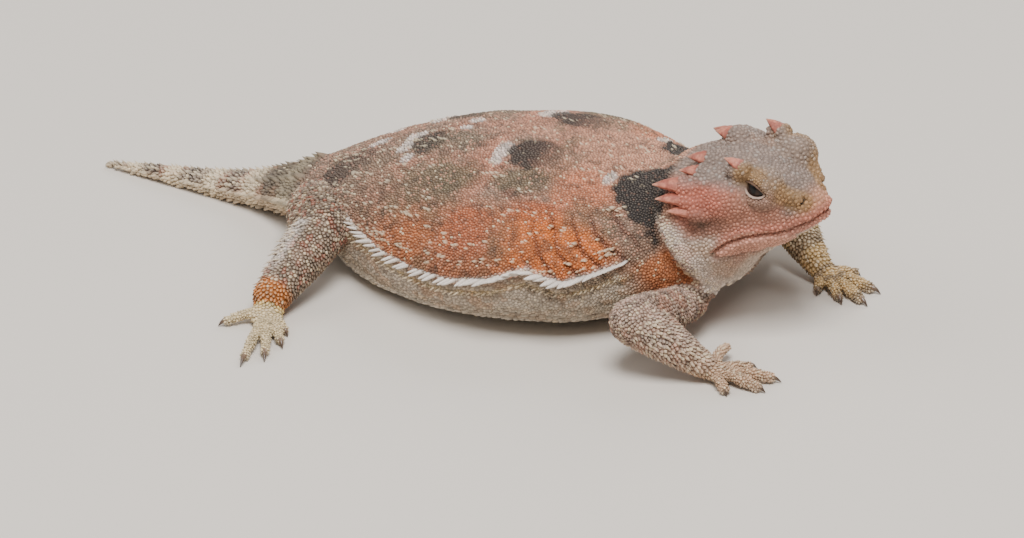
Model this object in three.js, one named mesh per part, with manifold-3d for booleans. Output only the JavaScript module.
// Greater short-horned lizard, a life-size still model resting on its belly with the head raised.
// Millimetres. +X points to the snout, +Y to the animal's left, +Z up.
// The origin is on the floor, under the flat of the belly.
import * as THREE from 'three';
import Module from 'manifold-3d';

const wasm = await Module();
wasm.setup();

// Driving dimensions
const GAP = 0.3; // clearance between neighbouring nodes
const SINK = 0.9; // how deep a spine's root is sunk in the skin
const FLOOR = 0;

// Cross-sections of the body from the tail tip to the snout. x and z place the widest level,
// pitch tilts the section back, half is the half-width, up and down the heights above and below
// the widest level. crown and base say how square the section is above and below (2 is an ellipse).
const SECTIONS = [
  { at: 'tail tip', x: -76.6, z: 0.6, pitch: 0, half: 0.4, up: 0.4, down: 0.6, crown: 2, base: 2 },
  { at: 'tail end', x: -69, z: 1.2, pitch: 0, half: 1.3, up: 1, down: 1.3, crown: 2, base: 2 },
  { at: 'tail middle', x: -59, z: 1.9, pitch: 2, half: 2.3, up: 1.6, down: 2, crown: 2, base: 2.2 },
  { at: 'tail front', x: -50, z: 3, pitch: 5, half: 3.7, up: 2.2, down: 2.7, crown: 2, base: 2.2 },
  { at: 'tail root', x: -43.5, z: 4.5, pitch: 7, half: 5.8, up: 2.9, down: 3.5, crown: 2, base: 2.3 },
  { at: 'vent', x: -38, z: 6.1, pitch: 7, half: 8.6, up: 3.9, down: 5, crown: 2, base: 2.6 },
  { at: 'hips', x: -32, z: 7.4, pitch: 6, half: 12, up: 6, down: 7, crown: 1.95, base: 3.2 },
  { at: 'loin', x: -24.5, z: 8.7, pitch: 5, half: 17.6, up: 8.4, down: 9.1, crown: 1.9, base: 4.6 },
  { at: 'flank', x: -15, z: 9.7, pitch: 4, half: 22.6, up: 11, down: 10.3, crown: 1.85, base: 4.2 },
  { at: 'belly', x: -4, z: 11, pitch: 3, half: 26, up: 11.9, down: 11.8, crown: 1.85, base: 3.3 },
  { at: 'middle', x: 6.5, z: 12.8, pitch: 3, half: 26.2, up: 10.9, down: 13.6, crown: 1.85, base: 2.9 },
  { at: 'ribs', x: 16, z: 12.5, pitch: 5, half: 23.2, up: 10.9, down: 12.6, crown: 1.9, base: 2.6 },
  { at: 'shoulders', x: 22.5, z: 14, pitch: 12, half: 18.6, up: 9.4, down: 12.4, crown: 1.95, base: 2.4 },
  { at: 'collar', x: 27, z: 15.5, pitch: 24, half: 14.6, up: 9.4, down: 11.4, crown: 2, base: 2.2 },
  { at: 'groove', x: 29.2, z: 17, pitch: 29, half: 11.8, up: 9.2, down: 10.8, crown: 2.1, base: 2.2 },
  { at: 'gular fold', x: 31.2, z: 18.5, pitch: 29, half: 12.8, up: 9.3, down: 12.8, crown: 2.2, base: 2.2 },
  { at: 'jaw angle', x: 34.8, z: 20.9, pitch: 23, half: 11.7, up: 8.6, down: 12.4, crown: 2.6, base: 2.3 },
  { at: 'cheek', x: 38.8, z: 22.7, pitch: 17, half: 10.3, up: 8.2, down: 10.3, crown: 2.8, base: 2.5 },
  { at: 'eyes', x: 43, z: 23.8, pitch: 13, half: 8.8, up: 7.1, down: 8.6, crown: 2.7, base: 2.8 },
  { at: 'canthus', x: 47.2, z: 24.2, pitch: 11, half: 6.8, up: 5.2, down: 6.5, crown: 2.4, base: 2.6 },
  { at: 'snout', x: 50.5, z: 24, pitch: 9, half: 4.6, up: 3.3, down: 4, crown: 2.2, base: 2.3 },
  { at: 'snout tip', x: 53.1, z: 23.8, pitch: 8, half: 1.8, up: 1.4, down: 1.4, crown: 2, base: 2 },
];
const station = (name) => SECTIONS.findIndex((s) => s.at === name);

// Where the body is parted, as places along SECTIONS
const TAIL_CUT = station('tail middle');
const VENT_CUT = station('vent') + 0.15;
const NECK_CUT = station('groove') - 0.35;
const HEAD_CUT = station('gular fold') + 0.35;

// Legs: joints in millimetres, radii at the root, swelling and end of each length, the way the
// hand or foot points, and each digit's turn from that way, its reach from the wrist and how far
// it is held off the floor
const LEGS = {
  foreleg_right: {
    names: ['upper_arm', 'forearm', 'hand'],
    joints: [[33, -8.5, 5.6], [31, -24.8, 9.7], [41.7, -21.4, 2.9]],
    radii: [[2.9, 3.5, 3.9], [3.9, 3.8, 2.2]],
    heading: 24,
    digits: [[65, 9.2, 1.4], [26, 9.4], [-2, 12.6], [-22, 11], [-54, 7]],
  },
  foreleg_left: {
    names: ['upper_arm', 'forearm', 'hand'],
    joints: [[33, 8.5, 5.6], [32, 24, 9.7], [42.6, 17.6, 2.9]],
    radii: [[2.9, 3.5, 3.9], [3.9, 3.8, 2.2]],
    heading: -18,
    digits: [[-46, 6.2], [-22, 10], [-6, 12.7], [16, 11.6], [50, 7]],
  },
  hindleg_right: {
    names: ['thigh', 'shank', 'foot'],
    joints: [[-33.5, -9, 6.6], [-27.6, -18.8, 9.4], [-29.6, -33, 3.2]],
    radii: [[5, 5.3, 4.3], [4.3, 4.1, 2.9]],
    heading: -77,
    digits: [[33, 8.2], [23, 12], [10.5, 16.3], [-1, 18.6], [-50, 9.4]],
  },
  hindleg_left: {
    names: ['thigh', 'shank', 'foot'],
    joints: [[-33.5, 9, 5.4], [-24, 19, 5.4], [-28, 27.6, 3]],
    radii: [[4.6, 4.8, 4], [4, 3.8, 2.8]],
    heading: 45,
    digits: [[-34, 8.6], [-21, 12], [-8, 16.2], [6, 18.6], [50, 9.4]],
  },
};

const EYE = { x: 44.6, y: 6, z: 28.3, radius: 2.7, lid: 0.85, opening: 1.5 };

// Horns of one side: root and tip, half-width at the root, and how flat it is
const HORNS = {
  brow: { root: [42, 6.9, 30.9], tip: [38.4, 7.5, 32.7], radius: 1.5, flat: 0.75 },
  occipital: { root: [35.4, 4.4, 29.8], tip: [30.6, 5, 29.9], radius: 1.9, flat: 0.75 },
  parietal: { root: [34.8, 7.4, 28.8], tip: [30.6, 8, 28.8], radius: 1.5, flat: 0.75 },
  temporal_1: { root: [33.6, 9.3, 27], tip: [27.3, 10.9, 26.8], radius: 2.1, flat: 0.65 },
  temporal_2: { root: [34.4, 10.1, 25.2], tip: [28.3, 11.9, 24.9], radius: 2, flat: 0.65 },
  temporal_3: { root: [35.6, 10.6, 23.4], tip: [30.6, 12.5, 23.5], radius: 1.8, flat: 0.65 },
};

// The brow ridge of one side from over the eye to the nostril: points and radii
const RIDGE = [
  [[38.8, 7.1, 30.7], 1], [[41.4, 7.6, 30.9], 1.2], [[44.4, 7.5, 30.2], 1.2],
  [[47, 6.3, 28.2], 1], [[49.2, 4.7, 26.6], 0.8], [[50.8, 3.4, 25.9], 0.5],
];

const radians = THREE.MathUtils.degToRad;
const vec = (a) => new THREE.Vector3(...a);

// A seeded draw between -1 and 1
function makeDraw(seed) {
  let state = seed;
  return () => {
    state = (state * 16807) % 2147483647;
    return (state / 2147483647) * 2 - 1;
  };
}

// A smooth value between the stations on each side of t
function between(field, t) {
  const last = SECTIONS.length - 1;
  const i = Math.min(Math.floor(t), last - 1);
  const u = t - i;
  const get = (k) => SECTIONS[THREE.MathUtils.clamp(k, 0, last)][field];
  const [a, b, c, d] = [get(i - 1), get(i), get(i + 1), get(i + 2)];
  const bend = 2 * a - 5 * b + 4 * c - d;
  return 0.5 * (2 * b + (c - a) * u + bend * u * u + (3 * b - a - 3 * c + d) * u ** 3);
}

const superPower = (value, box) => Math.sign(value) * Math.abs(value) ** (2 / box);

// A point of the body's skin. angle is 0 on the left, a quarter turn on the back.
function bodyPoint(t, angle, grow = 0, shift = 0) {
  const s = (field) => between(field, t);
  const side = Math.cos(angle);
  const rise = Math.sin(angle);
  const box = s(rise >= 0 ? 'crown' : 'base');
  const height = (s(rise >= 0 ? 'up' : 'down') + grow) * superPower(rise, box);
  const pitch = radians(s('pitch'));
  const point = new THREE.Vector3(
    s('x') - height * Math.sin(pitch) + shift * Math.cos(pitch),
    (s('half') + grow) * superPower(side, box),
    s('z') + height * Math.cos(pitch) + shift * Math.sin(pitch),
  );
  point.z = Math.max(point.z, FLOOR - grow);
  return point;
}

// The outward direction of the skin at a place on the body
function bodyNormal(t, angle) {
  const step = 0.02;
  const along = bodyPoint(t + step, angle).sub(bodyPoint(t - step, angle));
  const round = bodyPoint(t, angle + step).sub(bodyPoint(t, angle - step));
  return round.cross(along).normalize();
}

// A closed solid through rings of equally many points, with a fan over each end.
// A given apex replaces the middle of the last ring.
function solidOfRings(rings, apex) {
  const sides = rings[0].length;
  const points = rings.flat();
  const centre = (ring) => ring.reduce((sum, p) => sum.add(p), new THREE.Vector3()).divideScalar(sides);
  const first = points.push(centre(rings[0])) - 1;
  const last = points.push(apex ?? centre(rings.at(-1))) - 1;
  const triangles = [];
  rings.forEach((ring, i) => ring.forEach((p, j) => {
    const here = i * sides + j;
    const beside = i * sides + (j + 1) % sides;
    if (i === 0) triangles.push(first, beside, here);
    if (i === rings.length - 1) triangles.push(last, here, beside);
    else triangles.push(here, beside, beside + sides, here, beside + sides, here + sides);
  }));
  const mesh = new wasm.Mesh({
    numProp: 3,
    vertProperties: new Float32Array(points.flatMap((p) => p.toArray())),
    triVerts: new Uint32Array(triangles),
  });
  return new wasm.Manifold(mesh);
}

const turns = (count) => Array.from({ length: count }, (_, j) => (j / count) * 2 * Math.PI);
const steps = (from, to, count) => Array.from({ length: count + 1 }, (_, i) => from + ((to - from) * i) / count);

// The body from place t0 to t1, cut back by half the gap at the ends that meet a neighbour
function bodyLength(t0, t1, rings, sides, grow = 0, cuts = [true, true]) {
  return solidOfRings(steps(t0, t1, rings).map((t, i) => {
    const ends = (i === 0 && cuts[0] ? 1 : 0) - (i === rings && cuts[1] ? 1 : 0);
    return turns(sides).map((angle) => bodyPoint(t, angle, grow, ends * (GAP / 2 - grow)));
  }));
}

// Two directions across a line, so that across × over = along
function crossFrame(along) {
  const upright = Math.abs(along.z) > 0.95 ? new THREE.Vector3(1, 0, 0) : new THREE.Vector3(0, 0, 1);
  const across = upright.clone().cross(along).normalize();
  return { across, over: along.clone().cross(across).normalize() };
}

// A ring round a point, with its half-width across and half-height over the line
function ringAt(centre, along, wide, high, sides) {
  const { across, over } = crossFrame(along);
  return turns(sides).map((angle) => centre.clone()
    .addScaledVector(across, wide * Math.cos(angle))
    .addScaledVector(over, high * Math.sin(angle)));
}

// One length of a leg: a swelling limb with rounded ends
function limb([a, b], [root, swell, end], sides, grow = 0) {
  const along = b.clone().sub(a);
  const length = along.length();
  along.normalize();
  const rings = [];
  const add = (place, radius) => rings.push(ringAt(
    a.clone().addScaledVector(along, place), along, radius + grow, radius + grow, sides));
  for (const lift of [65, 32]) add(-(root + grow) * Math.sin(radians(lift)), root * Math.cos(radians(lift)));
  for (const [share, radius] of [[0, root], [0.35, swell], [0.7, (swell + end) / 2], [1, end]]) {
    add(length * share, radius);
  }
  for (const lift of [32, 65]) {
    add(length + (end + grow) * Math.sin(radians(lift)), end * Math.cos(radians(lift)));
  }
  return clampToFloor(rings, grow);
}

// Points under the floor are brought up to it, so that what lies on it is flat
function clampToFloor(rings, grow = 0, apex = undefined) {
  rings.flat().forEach((p) => { p.z = Math.max(p.z, FLOOR - grow); });
  return solidOfRings(rings, apex);
}

// A pointed spine whose root is sunk in the skin
function spine(root, normal, direction, length, wide, thick, sides = 4) {
  const tip = root.clone().addScaledVector(direction, length);
  const foot = root.clone().addScaledVector(normal, -SINK);
  return solidOfRings([ringAt(foot, normal, wide * 1.25, thick * 1.25, sides)], tip);
}

function ellipsoid([x, y, z], [rx, ry, rz], pitch = 0, turn = 0, detail = [12, 8]) {
  const shape = new THREE.SphereGeometry(1, ...detail);
  const place = new THREE.Matrix4().compose(
    new THREE.Vector3(x, y, z),
    new THREE.Quaternion().setFromEuler(new THREE.Euler(0, -radians(pitch), radians(turn), 'ZYX')),
    new THREE.Vector3(rx, ry, rz),
  );
  return fromGeometry(shape.rotateX(Math.PI / 2).applyMatrix4(place));
}

// A three.js shape as a solid, its doubled seam vertices merged by place
function fromGeometry(geometry) {
  const position = geometry.getAttribute('position');
  const seen = new Map();
  const vertices = [];
  const numbers = Array.from({ length: position.count }, (_, i) => {
    const p = new THREE.Vector3().fromBufferAttribute(position, i);
    const key = p.toArray().map((v) => Math.round(v * 1e4) || 0).join();
    if (!seen.has(key)) seen.set(key, vertices.push(p) - 1);
    return seen.get(key);
  });
  const index = geometry.index ? [...geometry.index.array] : numbers.map((_, i) => i);
  const triangles = [];
  for (let i = 0; i < index.length; i += 3) {
    const corner = index.slice(i, i + 3).map((k) => numbers[k]);
    if (new Set(corner).size === 3) triangles.push(...corner);
  }
  return new wasm.Manifold(new wasm.Mesh({
    numProp: 3,
    vertProperties: new Float32Array(vertices.flatMap((p) => p.toArray())),
    triVerts: new Uint32Array(triangles),
  }));
}

const joined = (solids) => wasm.Manifold.union(solids);
const FINE = 0.03; // edges that change the form by less than this are merged
const largest = (solid) => solid.simplify(FINE).decompose()
  .reduce((a, b) => (a.volume() >= b.volume() ? a : b));

// Spines set on the body's skin: where, how far they lean back and lift, and their size
function bodySpine(t, angle, lean, length, wide, thick, sides) {
  const normal = bodyNormal(t, angle);
  const back = bodyPoint(t - 0.05, angle).sub(bodyPoint(t + 0.05, angle)).normalize();
  const direction = normal.clone().multiplyScalar(Math.cos(radians(lean)))
    .addScaledVector(back, Math.sin(radians(lean))).normalize();
  return spine(bodyPoint(t, angle), normal, direction, length, wide, thick, sides);
}

// How far the fringe lies above the widest line at places along the flank
const FRINGE_WAVE = [
  [6.8, 2.9], [7.6, 1.2], [8.1, 0], [8.6, -0.7], [9.3, -1.5],
  [9.9, -1.3], [10.5, 1.2], [11.1, -0.6], [11.8, -0.4], [12.6, 0],
];

function fringeAngle(t) {
  const k = Math.max(1, FRINGE_WAVE.findIndex(([place]) => place >= t));
  const [[from, low], [to, high]] = [FRINGE_WAVE[k - 1], FRINGE_WAVE[k]];
  const lift = THREE.MathUtils.mapLinear(t, from, to, low, high);
  const [reach, box] = lift >= 0 ? ['up', 'crown'] : ['down', 'base'];
  return Math.sign(lift) * Math.asin((Math.abs(lift) / between(reach, t)) ** (between(box, t) / 2));
}

// The single row of white fringe scales along each flank, from the groin to the armpit
function fringe(draw) {
  const COUNT = 27;
  const FROM = station('hips') + 0.8;
  const TO = station('shoulders') + 0.3;
  return [1, -1].flatMap((side) => steps(FROM, TO, COUNT).map((t, i) => {
    const long = 2.6 + 0.6 * Math.sin((Math.PI * i) / COUNT) + 0.3 * draw();
    const angle = side > 0 ? fringeAngle(t) : Math.PI - fringeAngle(t);
    return bodySpine(t + 0.03 * draw(), angle, 32, long, 1.15, 0.75);
  }));
}

// Enlarged keeled spines in rows along the back
function backSpines(draw) {
  const ROWS = [[14, 8], [34, 9], [55, 9]];
  return [1, -1].flatMap((side) => ROWS.flatMap(([offset, count]) => steps(
    station('hips'), station('shoulders') - 0.2, count).map((t) => {
    const angle = Math.PI / 2 - side * radians(offset + 5 * draw());
    return bodySpine(t + 0.22 * draw(), angle, 55, 2 + 0.4 * draw(), 1, 0.85, 3);
  })));
}

// Spines along the tail: a fringe on each side and two rows on top
function tailSpines(from, to, count, draw) {
  const ROWS = [4, 55, 125, 176];
  return ROWS.flatMap((degrees) => steps(from, to, count).map((t) => {
    const size = between('half', t);
    const long = 0.9 + 0.26 * size + 0.15 * draw();
    return bodySpine(t, radians(degrees), 55, long, 0.5 + 0.07 * size, 0.4 + 0.05 * size, 3);
  }));
}

// Enlarged scales along the outer edges of a limb's length
function limbSpines([a, b], [root, swell, end], rows, count, draw) {
  const along = b.clone().sub(a).normalize();
  const { across, over } = crossFrame(along);
  return rows.flatMap((degrees) => steps(0.15, 0.88, count).map((share) => {
    const angle = radians(degrees + 9 * draw());
    const normal = across.clone().multiplyScalar(Math.cos(angle)).addScaledVector(over, Math.sin(angle));
    const radius = THREE.MathUtils.lerp(share < 0.35 ? root : swell, share < 0.35 ? swell : end,
      share < 0.35 ? share / 0.35 : (share - 0.35) / 0.65);
    const place = a.clone().lerp(b, share).addScaledVector(normal, radius);
    const direction = normal.clone().multiplyScalar(0.62).addScaledVector(along, 0.78).normalize();
    return spine(place, normal, direction, 1.7 + 0.3 * draw(), 0.8, 0.7, 3);
  }));
}

// A hand or foot: a flat palm, five digits that arch to the floor, and their claws
function paw(wrist, { heading, digits }, length, width) {
  const way = (turn) => new THREE.Vector3(Math.cos(radians(turn)), Math.sin(radians(turn)), 0);
  const forward = way(heading);
  const palm = [[-0.3, 0.8, 2.9, 2.1], [0.1, 1, 2.4, 1.9], [0.5, 1.05, 1.6, 1.6], [0.85, 0.85, 1.2, 1.2]];
  const pieces = [clampToFloor(palm.map(([place, wide, height, high]) => ringAt(
    wrist.clone().addScaledVector(forward, place * length).setZ(height), forward, wide * width, high, 10)))];
  for (const [turn, reach, lift = 0] of digits) {
    const start = wrist.clone().addScaledVector(forward, length * 0.3);
    const run = wrist.clone().addScaledVector(way(heading + turn), reach).sub(start).setZ(0);
    const along = run.clone().normalize();
    const at = (share, height, radius, sides) => ringAt(
      start.clone().addScaledVector(run, share).setZ(height + lift), along, radius, radius, sides);
    const apex = start.clone().addScaledVector(run, 1).setZ(0.15 + lift);
    pieces.push(clampToFloor([at(0, 1.5, 1.1, 5), at(0.5, 1.6, 1, 5), at(0.86, 0.75, 0.7, 5)]));
    pieces.push(clampToFloor([at(0.74, 1.05, 0.5, 4), at(0.88, 0.95, 0.38, 4)], 0, apex));
  }
  return joined(pieces);
}

// The raised forms of the head, grown where a neighbour is cut by them
function headForms(grow = 0) {
  const side = [1, -1].flatMap((hand) => {
    const lidded = EYE.radius + EYE.lid + grow;
    const ridge = RIDGE.map(([[x, y, z], radius], i) => {
      const next = vec(RIDGE[Math.min(i + 1, RIDGE.length - 1)][0]);
      const along = next.sub(vec(RIDGE[Math.max(Math.min(i, RIDGE.length - 2), 0)][0]));
      along.y *= hand;
      return ringAt(new THREE.Vector3(x, hand * y, z), along.normalize(), radius + grow, radius + grow, 7);
    });
    return [
      solidOfRings(ridge),
      ellipsoid([35.4, hand * 5.2, 27.6], [4.4 + grow, 5.4 + grow, 2.9 + grow], 12),
      ellipsoid([38.4, hand * 8.3, 25.2], [5.6 + grow, 2.9 + grow, 3.9 + grow], 8, hand * -12),
      ellipsoid([43.8, hand * 5.7, 27.6], [5.2 + grow, 3.3 + grow, 3.4 + grow], -18, hand * -14),
      ellipsoid([EYE.x, hand * EYE.y, EYE.z], [lidded, lidded, lidded], 0, 0, [14, 9]),
    ];
  });
  return joined(side);
}

// The head: skull, brow ridges, crown shelf, temples, lids round the eye, mouth line and nostrils
function headSolid(neckGrown) {
  const loft = bodyLength(HEAD_CUT, station('snout tip'), 16, 28, 0, [true, false]);
  const skull = joined([loft, headForms().subtract(neckGrown), lips().subtract(neckGrown)]);
  const hollows = [1, -1].flatMap((side) => [
    ellipsoid([EYE.x, side * EYE.y, EYE.z], Array(3).fill(EYE.radius + GAP), 0, 0, [12, 8]),
    eyeOpening(side),
    ellipsoid([50.5, side * 3.5, 25.7], [0.6, 0.8, 0.5], 0, 0, [8, 6]), // nostril
    ellipsoid([34.9, side * 11.9, 20.4], [1, 0.9, 1.5], 0, 0, [10, 6]), // ear
  ]);
  return skull.subtract(joined(hollows)).subtract(mouthLine());
}

// The almond between the lids, cut out along the way the eye looks
function eyeOpening(side) {
  const reach = EYE.radius + EYE.lid + 0.6;
  const shape = ellipsoid([0, 0, 0], [2.3, reach, EYE.opening], 0, 0, [14, 10]);
  return shape.rotate([side * 6, 14, 0]).translate([EYE.x, side * (EYE.y + 1.1), EYE.z + 0.3]);
}

// Where the mouth runs on the head's skin: places along SECTIONS and degrees below the widest level
const MOUTH = [
  [16, -25], [17, -19.5], [17.8, -16.5], [18.4, -20],
  [19, -26.5], [19.6, -30], [20.4, -30.5], [21, -26],
];

function mouthAngle(t) {
  const k = Math.max(1, MOUTH.findIndex(([place]) => place >= t));
  const [[from, low], [to, high]] = [MOUTH[k - 1], MOUTH[k]];
  return radians(THREE.MathUtils.mapLinear(t, from, to, low, high));
}

function mouthPath(drop) {
  const places = steps(station('jaw angle') + 0.3, station('snout tip') - 0.02, 12);
  const left = places.map((t) => bodyPoint(t, mouthAngle(t) - radians(drop)));
  const right = places.map((t) => bodyPoint(t, Math.PI - mouthAngle(t) + radians(drop))).reverse();
  return [...left, ...right];
}

function tubeAlong(points, radius, sides) {
  return solidOfRings(points.map((p, i) => {
    const along = points[Math.min(i + 1, points.length - 1)].clone().sub(points[Math.max(i - 1, 0)]).normalize();
    const ends = i === 0 || i === points.length - 1 ? 0.3 : 1;
    return ringAt(p, along, radius * ends, radius * ends, sides);
  }));
}

const lips = () => joined([tubeAlong(mouthPath(-6), 0.6, 5), tubeAlong(mouthPath(7), 0.6, 5)]);
const mouthLine = () => tubeAlong(mouthPath(0), 0.42, 4);

// A horn lies back along the head, its root sunk in front
function horn({ root, tip, radius, flat }, side, grow = 0) {
  const mirror = ([x, y, z]) => new THREE.Vector3(x, side * y, z);
  const from = mirror(root);
  const to = mirror(tip);
  const direction = to.clone().sub(from).normalize();
  const inside = from.clone().addScaledVector(direction, -1.5 - grow);
  to.addScaledVector(direction, grow);
  const rings = [[0, 0.55], [0.22, 1], [0.5, 0.85], [0.78, 0.45]].map(([share, size]) => {
    const centre = inside.clone().lerp(to, share);
    centre.z += 0.35 * Math.sin(Math.PI * share);
    return ringAt(centre, direction, radius * size + grow, radius * flat * size + grow, 8);
  });
  return solidOfRings(rings, to);
}

function material(colour, roughness) {
  return new THREE.MeshStandardMaterial({ color: colour, roughness, metalness: 0 });
}

const MATERIALS = {
  back: material(0xa5714f, 0.85),
  head: material(0x9c7468, 0.8),
  limb: material(0xa89382, 0.85),
  horn: material(0xb4604f, 0.7),
  eye: material(0x1c1410, 0.1),
};

const lizard = new THREE.Group();

function addNode(name, solid, look) {
  const mesh = solid.getMesh();
  const geometry = new THREE.BufferGeometry();
  const vertices = new Float32Array(mesh.numVert * 3);
  for (let i = 0; i < mesh.numVert; i += 1) {
    vertices.set(mesh.vertProperties.subarray(i * mesh.numProp, i * mesh.numProp + 3), i * 3);
  }
  geometry.setAttribute('position', new THREE.BufferAttribute(vertices, 3));
  geometry.setIndex(new THREE.BufferAttribute(mesh.triVerts, 1));
  geometry.computeVertexNormals();
  const made = new THREE.Mesh(geometry, MATERIALS[look]);
  made.name = name;
  lizard.add(made);
}

const draw = makeDraw(20417);
const SIDES = 30;

// Solids of the legs, and their grown copies that cut what meets them
const legSolids = {};
const legsGrown = [];
for (const [leg, { joints, radii }] of Object.entries(LEGS)) {
  const points = joints.map(vec);
  const lengths = [[points[0], points[1]], [points[1], points[2]]];
  legSolids[leg] = lengths.map((ends, i) => limb(ends, radii[i], 11));
  legsGrown.push(...lengths.map((ends, i) => limb(ends, radii[i], 11, GAP)));
}

const legCutter = joined(legsGrown);
const tailBaseGrown = bodyLength(TAIL_CUT, VENT_CUT, 7, 16, GAP);
// The rounded front of the chest, between the shoulders
const chest = (grow) => ellipsoid([30.5, 0, 8.2], [5 + grow, 8 + grow, 4 + grow], 0, 0, [16, 10]);
const torsoGrown = joined([bodyLength(VENT_CUT, NECK_CUT, 20, SIDES, GAP), chest(GAP)]);
const neckGrown = bodyLength(NECK_CUT, HEAD_CUT, 5, 28, GAP);
const headGrown = joined([
  bodyLength(HEAD_CUT, station('snout tip'), 16, 28, GAP, [true, false]),
  headForms(GAP),
]);
const notBeside = (spines, neighbours) => joined(spines).subtract(joined([legCutter, ...neighbours]));

// Trunk, neck and tail
const trunk = joined([bodyLength(VENT_CUT, NECK_CUT, 20, SIDES), chest(0).subtract(neckGrown)]);
const trunkSpines = notBeside([...fringe(draw), ...backSpines(draw)], [tailBaseGrown, neckGrown]);
addNode('torso', largest(joined([trunk, trunkSpines])), 'back');
addNode('neck', largest(bodyLength(NECK_CUT, HEAD_CUT, 5, 28)), 'back');
const tailBase = bodyLength(TAIL_CUT, VENT_CUT, 7, 16);
const tailEnd = bodyLength(0, TAIL_CUT, 8, 12, 0, [false, true]);
const baseSpines = tailSpines(TAIL_CUT + 0.2, station('tail root') + 0.3, 7, draw);
const endSpines = tailSpines(0.35, TAIL_CUT - 0.2, 8, draw);
addNode('tail_base', largest(joined([tailBase, notBeside(baseSpines, [torsoGrown])])), 'back');
addNode('tail_end', largest(joined([tailEnd, notBeside(endSpines, [tailBaseGrown])])), 'back');

// Head, horns and eyes
addNode('head', largest(headSolid(neckGrown)), 'head');
for (const [side, word] of [[1, 'left'], [-1, 'right']]) {
  let cutter = joined([headGrown, neckGrown]);
  for (const [name, shape] of Object.entries(HORNS)) {
    addNode(`horn_${name}_${word}`, largest(horn(shape, side).subtract(cutter)), 'horn');
    cutter = cutter.add(horn(shape, side, GAP));
  }
  const ball = ellipsoid([EYE.x, side * EYE.y, EYE.z], Array(3).fill(EYE.radius), 0, 0, [14, 10]);
  addNode(`eye_${word}`, ball, 'eye');
}

// Legs, each length cut by the body and by the length before it
const bodyGrown = joined([torsoGrown, neckGrown, tailBaseGrown, headGrown]);
Object.entries(LEGS).forEach(([leg, shape], k) => {
  const points = shape.joints.map(vec);
  const [upper, lower] = legSolids[leg];
  const [upperGrown, lowerGrown] = legsGrown.slice(2 * k, 2 * k + 2);
  const fore = leg.startsWith('fore');
  const edges = fore ? [35, 145] : [35, 150];
  const spines = [0, 1].map((i) => joined(limbSpines(points.slice(i), shape.radii[i], edges, 4, draw)));
  const upperSolid = joined([upper, spines[0].subtract(lowerGrown)]).subtract(bodyGrown);
  const lowerSolid = joined([lower, spines[1]]).subtract(joined([upperGrown, bodyGrown]));
  const size = fore ? [4.6, 2.1] : [5.8, 2.5];
  const last = paw(points[2], shape, ...size).subtract(joined([lowerGrown, bodyGrown]));
  addNode(`${leg}_${shape.names[0]}`, largest(upperSolid), 'limb');
  addNode(`${leg}_${shape.names[1]}`, largest(lowerSolid), 'limb');
  addNode(`${leg}_${shape.names[2]}`, largest(last), 'limb');
});

export default lizard;
